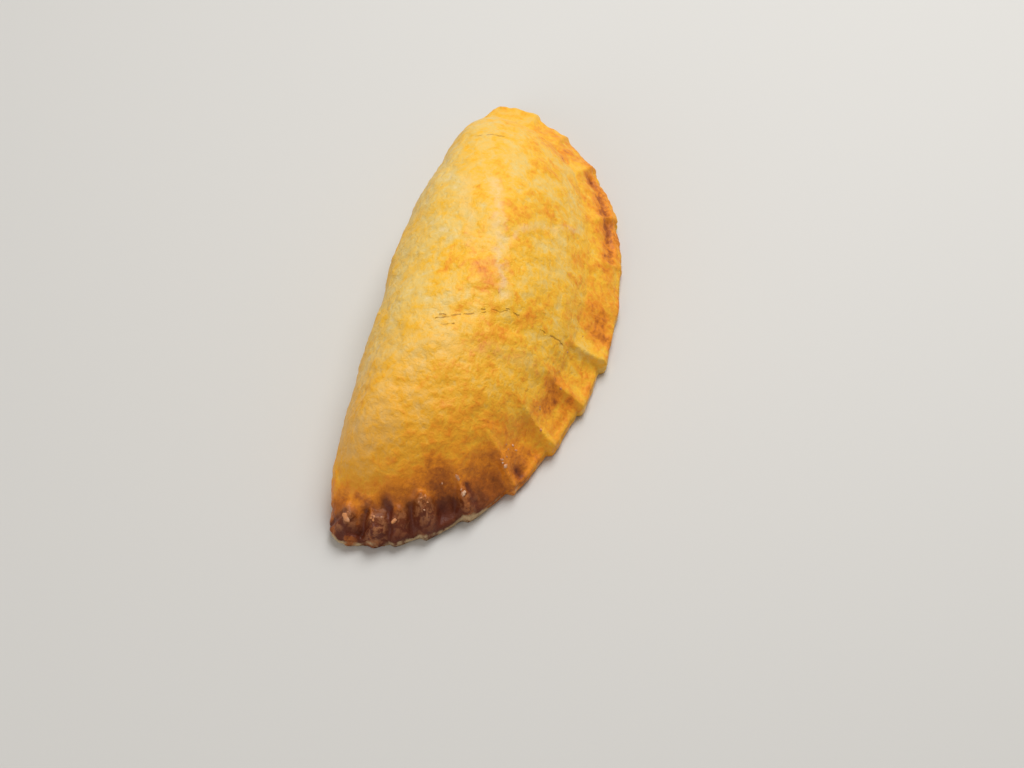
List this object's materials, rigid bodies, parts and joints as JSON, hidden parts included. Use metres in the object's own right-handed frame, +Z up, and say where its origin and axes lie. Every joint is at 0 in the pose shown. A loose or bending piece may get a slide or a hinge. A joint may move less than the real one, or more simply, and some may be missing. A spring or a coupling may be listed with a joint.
{
  "type": "meat pie",
  "caption": "Half-moon meat pie: dough folded over its filling, with a domed top, a rounded fold and a pleated curved seam, lying on its flat base.",
  "frame": {"origin": "middle of the bounding box, on the flat base", "axes": "+X along the pie's length, away from the pinched corner; +Y towards the rounded fold, so the pleated seam is on the -Y side; +Z up"},
  "size_m": [0.1492, 0.0606, 0.0345],
  "materials": {
    "crust": "satin"
  },
  "bodies": {
    "root": {"meat_pie": "crust"}
  },
  "joints": []
}
